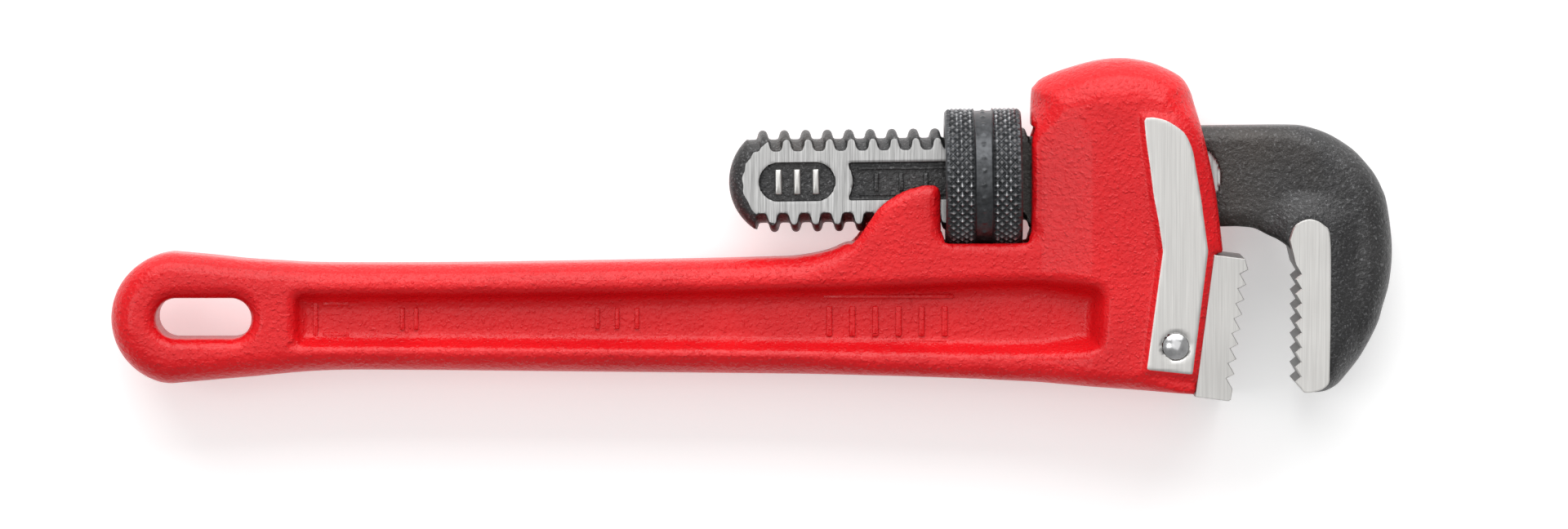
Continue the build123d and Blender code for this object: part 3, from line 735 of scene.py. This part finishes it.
def sunkPanels(u, v):
    # a short panel with round ends, and a long one whose near end is hollow
    shape = panelShape
    past = np.maximum(np.abs(u - shape["shortMiddle"]) - shape["shortHalf"], 0)
    short = np.hypot(past, v) - shape["shortRadius"]
    hollow = shape["hollowRadius"] - np.hypot(u - shape["hollowCentre"], v)
    ends = np.maximum(np.maximum(shape["longStart"] - u, u - shape["longEnd"]), hollow)
    return np.minimum(short, np.maximum(np.abs(v) - shape["longHalfWidth"], ends))


def groundTrack(u, v):  # the stretch of the shank's flats that runs on into the arm and ends round
    return np.hypot(np.maximum(u - hookShape["trackEnd"], 0), v) - hookShape["trackHalf"]


def hookField(u, v, z):
    # the screw cut to two flats, joined to the arm and hook, minus the ground track and the panels
    shape = hookShape
    high = np.abs(z)
    thread, nose = threadField(u, v, z)
    # a waist behind the nut's place is thinner, so it falls outside the ground flats and gets the black
    # colour, dark beside the nut
    waist = ease(u, 2, 3) * (1 - ease(u, 13, 14)) * shape["waistDepth"]
    flat = roundMax(nose, high - shape["flatHalf"] + waist, shape["flatRim"])
    shank = np.maximum(np.maximum(thread, flat), u - shape["armStart"] - 1)
    # the forging swells from the arm to the hook, and again beside the tooth block
    half = blend(shape["armHalf"], shape["hookHalf"], ease(u, 40, 56))
    half = half + shape["cheekRise"] * (1 - ease(blockLook(u, v), 0.2, 6)) * ease(u, 49, 56)
    rim = blend(shape["armRim"], shape["curveRim"], ease(u, 52, 66))
    rim = rim - shape["throatSharpening"] * ease(-v, 7, 12) * (1 - ease(u, 55, 62))
    arm = roundMax(hookLook(u, v), high - half, rim)
    arm = np.maximum(arm, -np.maximum(groundTrack(u, v), shape["flatHalf"] - high))
    sunk = np.maximum(sunkPanels(u, v), shape["flatHalf"] - panelShape["depth"] - high)
    return carve(roundMin(shank, arm, 0.3), sunk, 0.25)


def hookGround(u, v, z):
    # how far outside the ground flats a point lies
    shape = hookShape
    thread, nose = threadField(u, v, np.where(z < 0, -shape["flatHalf"], shape["flatHalf"]))
    ragged = 0.12 * np.sin(2.3 * v + 0.8 * u)
    onShank = np.maximum(np.maximum(thread + 0.12, nose + 2.5 + ragged), u - shape["armStart"] - 0.2)
    onArm = np.maximum(groundTrack(u, v), shape["armStart"] - u)
    flat = np.maximum(np.minimum(onShank, onArm), 0.1 - sunkPanels(u, v))
    return np.maximum(flat, (shape["flatHalf"] - 0.3 - np.abs(z)) * 2)


# bars in the panels, as start, end, width, height and material number
panelMarks = [((-22.5, 2.3), (-0.4, 2.3), 0.6, 0.5, 0), ((-22.5, -2.5), (-0.4, -2.5), 0.4, 0.4, 0)]
panelMarks += [((u, -1.5), (u, 1.0), 0.9, 0.5, 0) for u in (-19.5, -15.0, -10.5, -6.0)]
panelMarks += [((u, -1.7), (u, 1.7), 1.3, 0.9, 1) for u in (-37.3, -33.9, -30.5)]


def makeHook():
    shape = hookShape
    points, faces = netSurface(hookField, (-47.5, -41.0, -9.2), (75.8, 10.6, 9.2), shape["cell"])
    # the block: bright faces and bevels (1), black sides (0) and grey gullets (2)
    blockPoints, blockFaces = bevelledPlate(hookBlock, shape["padHalf"], 0.22)
    count = len(hookBlock)
    numbers = np.ones(len(blockFaces), int)
    numbers[1 + count:1 + 2 * count] = 0
    gullets = np.arange(len(hookPadOutline), len(hookPadOutline) + len(hookTeeth) + 1)
    numbers[count + gullets] = 2
    parts = [(points, faces, 0), (blockPoints, blockFaces, numbers, True)]
    for side in (1, -1):
        for start, end, width, height, number in panelMarks:
            bar = castBar(start, end, width, height, shape["flatHalf"] - panelShape["depth"], side)
            parts.append((*bar, number))
    materials = [blackForging, padSteel, grained["gullet_steel"]]
    piece = newPiece("hook_jaw_forging", parts, jawPlane, materials, "hook_jaw", "hook_jaw",
                     32)
    # the block and the bars have no ground edge, so they lie outside it
    values = np.full(len(piece.data.vertices), 3.0)
    values[: len(points)] = hookGround(*points.T)
    addValues(piece, "groundEdge", values)


makeHook()

print("heel jaw and pin")
heelShape = {
    "half": 10.4, "front": 6.58, "height": 26.1, "toothTop": -1.98, "pitch": 2.73, "depth": 1.35,
    "floor": 0.34, "count": 8, "bevel": 0.14, "tongueHalf": 4.0,
}


def makeHeelJaw():
    # a plate with saw teeth down its front, and a tongue that goes into the housing's slot
    shape = heelShape
    front, foot = shape["front"], -shape["height"]
    tipY = shape["toothTop"] - shape["pitch"] * np.arange(shape["count"] + 1)
    tips = np.column_stack([np.full(len(tipY), front), tipY])
    floors = tips - (shape["depth"], shape["pitch"] * shape["floor"])
    teeth = np.stack([tips, floors], 1).reshape(-1, 2)[:-1]
    outline = np.vstack([
        [(0, -0.1), (5.75, -0.1)], teeth, [(front - 0.05, foot + 0.3), (front - 0.45, foot), (0, foot)],
    ])[::-1]
    points, faces = bevelledPlate(outline, shape["half"], shape["bevel"])
    tongue = np.array([(-9.3, -3.0), (-9.3, -23.5), (1.0, -23.5), (1.0, -3.0)])
    tonguePoints, tongueFaces = bevelledPlate(tongue, shape["tongueHalf"], 0.3)
    numbers = np.zeros(len(faces), int)
    count = len(outline)
    numbers[1 + count:1 + 2 * count] = 1  # the edges stay rough, the two faces are ground
    parts = [(points, faces, numbers, True), (tonguePoints, tongueFaces, 1, True)]
    materials = [heelSteel, grained["rough_steel"]]
    newPiece("heel_jaw_block", parts, heelPlane, materials, "handle", "heel_jaw", 25)


makeHeelJaw()

pinShape = {"top": 12.1, "ball": 4.2, "radius": 2.34, "shank": 2.37}


def makePin():
    # a low dome at each end, part of a ball that the pad cuts off
    shape = pinShape
    radius = np.linspace(0, shape["radius"], 24)
    dome = shape["top"] - shape["ball"] + np.sqrt(shape["ball"] ** 2 - radius**2)
    end = [*zip(radius, dome), (shape["shank"], 11.2), (shape["shank"], 10.9)]
    profile = [(r, -h) for r, h in end] + end[::-1]
    points, faces = lathe(profile, 96)
    points = points + np.array([*castingShape["pinPlace"], 0.0])
    parts = [(points, faces, 0)]
    materials = [grained["pin_steel"]]
    newPiece("heel_jaw_pin_steel", parts, drawingPlane, materials, "handle", "heel_jaw_pin", 60)


makePin()

print("adjusting nut")
nutShape = {
    "radius": 12.9, "width": 13.9, "chamfer": 0.75, "groove": 3.1, "grooveDepth": 0.5, "bore": 9.55,
    "ridgeTip": 7.85, "knurls": 46, "knurlPitch": 1.6, "knurlDepth": 0.6, "dots": 31, "dotHeight": 0.22,
    "dotRadius": 0.34,
}


def triangleWave(t):  # 0 at whole numbers, 1 half way between
    return 1 - np.abs(2 * (t - np.floor(t)) - 1)


def makeNut():
    # a profile (u along the screw, r) from the left rim over the outside to the right face and back
    # through the bore, carried round the screw; the knurl, the dots and the ridge change its radius
    shape = nutShape
    columns = shape["knurls"] * 10
    half, groove, bore = shape["width"] / 2, shape["groove"] / 2, shape["bore"]
    rim = shape["radius"] - shape["chamfer"]
    grooveFloor = shape["radius"] - shape["grooveDepth"]
    band = np.linspace(-half + shape["chamfer"], -groove - 0.15, 31)
    leftHalf = [(-half, rim), (-half + 0.3, rim + 0.34), *((u, shape["radius"]) for u in band)]
    leftHalf.append((-groove, grooveFloor + 0.12))
    middle = [(u, grooveFloor) for u in np.linspace(-groove + 0.15, groove - 0.15, 15)]
    outside = leftHalf + middle + [(-u, r) for u, r in leftHalf[::-1]]
    face = [(half, r) for r in np.linspace(rim, bore + 0.4, 6)[1:]]
    inside = [(u, bore) for u in np.linspace(half - 0.4, -half + 0.4, 44)]
    back = [(-half, r) for r in np.linspace(bore + 0.4, rim, 6)[:-1]]
    profile = np.array(outside + face + inside + back)
    rows = len(profile)
    u, r = profile[:, 0][:, None], profile[:, 1][:, None]
    phi = 2 * np.pi * np.arange(columns)[None, :] / columns
    outer = (np.arange(rows) < len(outside)).astype(float)[:, None]
    # pyramids: the lower of two triangle waves that run round the nut with and against its width
    turns = shape["knurls"] * phi / (2 * np.pi)
    steps = u / shape["knurlPitch"]
    knurl = np.minimum(triangleWave(turns + steps), triangleWave(turns - steps))
    edge = half - shape["chamfer"]
    inBand = ramp(np.abs(u), groove + 0.1, groove + 0.45) * (1 - ramp(np.abs(u), edge - 0.1, edge + 0.45))
    radius = r - shape["knurlDepth"] * (1 - knurl) * inBand * outer
    # dots punched along the groove: round hills that fall off as a bell curve
    spacing = 2 * np.pi / shape["dots"]
    dotAngle = (phi / spacing + 0.5) % 1 - 0.5
    away = np.hypot(dotAngle * spacing * grooveFloor, u)
    radius = radius + shape["dotHeight"] * np.exp(-(away / shape["dotRadius"]) ** 2) * outer
    # the ridge that runs in the thread, half a pitch from the shank's teeth
    local = (u - hookShape["phase"]) / hookShape["pitch"] - 0.5 - phi / (2 * np.pi)
    local = np.abs(local - np.round(local)) * hookShape["pitch"]
    ridge = (1 - ramp(local, 0.7, 1.17)) * (1 - ramp(np.abs(u), half - 1.5, half - 0.9))
    ridge = ridge * (1 - outer) * (np.abs(r - bore) < 0.01)
    radius = radius - (bore - shape["ridgeTip"]) * ridge
    ring = np.stack(np.broadcast_arrays(radius * np.cos(phi), radius * np.sin(phi), u), 2)
    faces = gridFaces(rows, columns, closedRows=True)[:, ::-1].tolist()
    parts = [(ring.reshape(-1, 3), faces, 0)]
    materials = [grained["dark_nut"]]
    piece = newPiece("adjusting_nut_knurled", parts, screwPlane, materials, "adjusting_nut", "adjusting_nut",
                     25)
    # the knurl's tips, where the nut's finish paints its highlight
    addValues(piece, "tips", (knurl * inBand * outer).ravel())


makeNut()

print("springs")
leafShape = {"start": 10.5, "end": 40.0, "top": -9.4, "thickness": 0.9, "half": 4.5, "corner": 2.0}
rivetShape = {"place": 15.76, "profile": [
    (0, 0.02), (0.95, 0.02), (1.0, 0.1), (1.0, 0.9), (1.62, 0.9), (1.7, 1.0), (1.7, 1.35), (1.5, 1.62),
    (1.1, 1.76), (0.6, 1.8), (0, 1.8),
]}
coilShape = {"bottom": -8.6, "wire": 0.35, "radius": 2.3, "turns": 5, "closing": 0.07, "rows": 320,
             "ring": 14}


def makeLeaf():
    # a flat strip with quarter-round corners, under the shank
    shape = leafShape
    corner = shape["corner"]
    angle = np.radians(np.arange(0, 91, 15))
    arc = np.column_stack([np.cos(angle), np.sin(angle)]) * corner
    right, left, wide = shape["end"] - corner, shape["start"] + corner, shape["half"] - corner
    outline = np.vstack([
        arc + (right, wide), arc @ [[0, 1], [-1, 0]] + (left, wide), -arc + (left, -wide),
        arc @ [[0, -1], [1, 0]] + (right, -wide),
    ])
    origin = nutCentre + screwAcross * (shape["top"] - shape["thickness"] / 2)
    plane = {"origin": origin, "x": screwAxis, "y": up, "z": -screwAcross}
    points, faces = bevelledPlate(outline, shape["thickness"] / 2, 0.15)
    parts = [(points, faces, 0)]
    materials = [grained["spring_steel"]]
    newPiece("flat_spring_leaf", parts, plane, materials, "spring_leaf", "flat_spring", 30)


def makeRivet():
    # a countersunk top, a shank and a round head below the leaf, turned round the rivet's axis
    origin = nutCentre + screwAxis * rivetShape["place"] + screwAcross * leafShape["top"]
    plane = {"origin": origin, "x": screwAxis, "y": up, "z": -screwAcross}
    points, faces = lathe(rivetShape["profile"], 48)
    parts = [(points, faces, 0)]
    materials = [grained["spring_steel"]]
    newPiece("spring_rivet_steel", parts, plane, materials, "spring_leaf", "spring_rivet",
             30)


def makeCoil():
    # a circle carried along a helix, wound closer at both ends
    shape = coilShape
    wire, rows, ring = shape["wire"], shape["rows"], shape["ring"]
    lowY = shape["bottom"] + wire + 0.02
    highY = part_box("coil_spring")[1].y / mm - drawingOrigin[1] - wire
    t = np.linspace(0, 1, rows)[:, None]
    wind = 2 * np.pi * shape["turns"] * t
    climb = t - shape["closing"] * np.sin(2 * np.pi * t)
    out = np.concatenate([np.sin(wind), np.zeros_like(wind), np.cos(wind)], 1)
    centre = shape["radius"] * out
    centre[:, 1:2] = lowY + (highY - lowY) * climb
    along = np.gradient(centre, axis=0)
    along /= np.linalg.norm(along, axis=1)[:, None]
    side = np.cross(along, out)
    psi = 2 * np.pi * np.arange(ring)[None, :, None] / ring
    tube = centre[:, None] + wire * (out[:, None] * np.cos(psi) + side[:, None] * np.sin(psi))
    points = tube.reshape(-1, 3) + np.array([castingShape["coilX"], 0, 0])
    faces = gridFaces(rows, ring)[:, ::-1].tolist()
    faces += [list(range(ring))[::-1], list(range((rows - 1) * ring, rows * ring))]
    parts = [(points, faces, 0)]
    materials = [grained["spring_steel"]]
    coil = newPiece("coil_spring_wire", parts, drawingPlane, materials, None, "coil_spring",
                    60)
    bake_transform(coil)


makeLeaf()
makeRivet()
makeCoil()

print("floor, light and camera")
stageLook = {"floor": (0.92, 0.92, 0.92, 1), "glow": 0.3, "size": 6, "gap": 0.0002, "world": 0.38}
lightLook = {
    "key_light": {"place": (0.0, 0.95, 0.64), "width": 1.6, "depth": 0.9, "power": 16.0},
    "top_light": {"place": (0.1, 0.25, 1.9), "width": 1.5, "depth": 1.5, "power": 7.0},
    "edge_light": {"place": (-0.75, 0.05, 1.25), "width": 0.5, "depth": 0.5, "power": 2.6},
}
cameraLook = {"distance": 1.6, "tiltDegrees": 2.9, "widthSeen": 0.286, "target": (5.96, -6.26)}


def makeStage():
    bpy.ops.mesh.primitive_plane_add(size=stageLook["size"], location=(0, 0, -stageLook["gap"]))
    floor = bpy.context.object
    floor.name = "floor"
    finish = Finish("floor_paper", {"Base Color": stageLook["floor"], "Emission Color": (1, 1, 1, 1),
                                    "Emission Strength": stageLook["glow"]})
    roughness = finish.between(finish.noise(3), 0, 1, 0.85, 0.95)
    floor.data.materials.append(finish.wear({"Roughness": roughness}))
    world = bpy.data.worlds.new("studio")
    world.use_nodes = True
    background = world.node_tree.nodes["Background"]
    background.inputs["Color"].default_value = (1, 1, 1, 1)
    background.inputs["Strength"].default_value = stageLook["world"]
    bpy.context.scene.world = world
    for name, look in lightLook.items():
        lamp = bpy.data.lights.new(name, "AREA")
        lamp.shape = "RECTANGLE"
        lamp.size = look["width"]
        lamp.size_y = look["depth"]
        lamp.energy = look["power"]
        light = bpy.data.objects.new(name, lamp)
        light.location = look["place"]
        light.rotation_euler = (-Vector(look["place"])).to_track_quat("-Z", "Y").to_euler()
        bpy.context.scene.collection.objects.link(light)


def makeCamera():
    tilt = np.radians(cameraLook["tiltDegrees"])
    target = Vector(placed(np.array([[*cameraLook["target"], 0.0]]), drawingPlane)[0])
    back = Vector((0, np.sin(tilt), np.cos(tilt)))
    lens = bpy.data.cameras.new("camera")
    lens.lens = lens.sensor_width * cameraLook["distance"] / cameraLook["widthSeen"]
    camera = bpy.data.objects.new("camera", lens)
    camera.location = target + back * cameraLook["distance"]
    camera.rotation_euler = (-tilt, 0, 0)
    bpy.context.scene.collection.objects.link(camera)
    bpy.context.scene.camera = camera


makeStage()
makeCamera()
bpy.context.scene.view_settings.view_transform = "Standard"
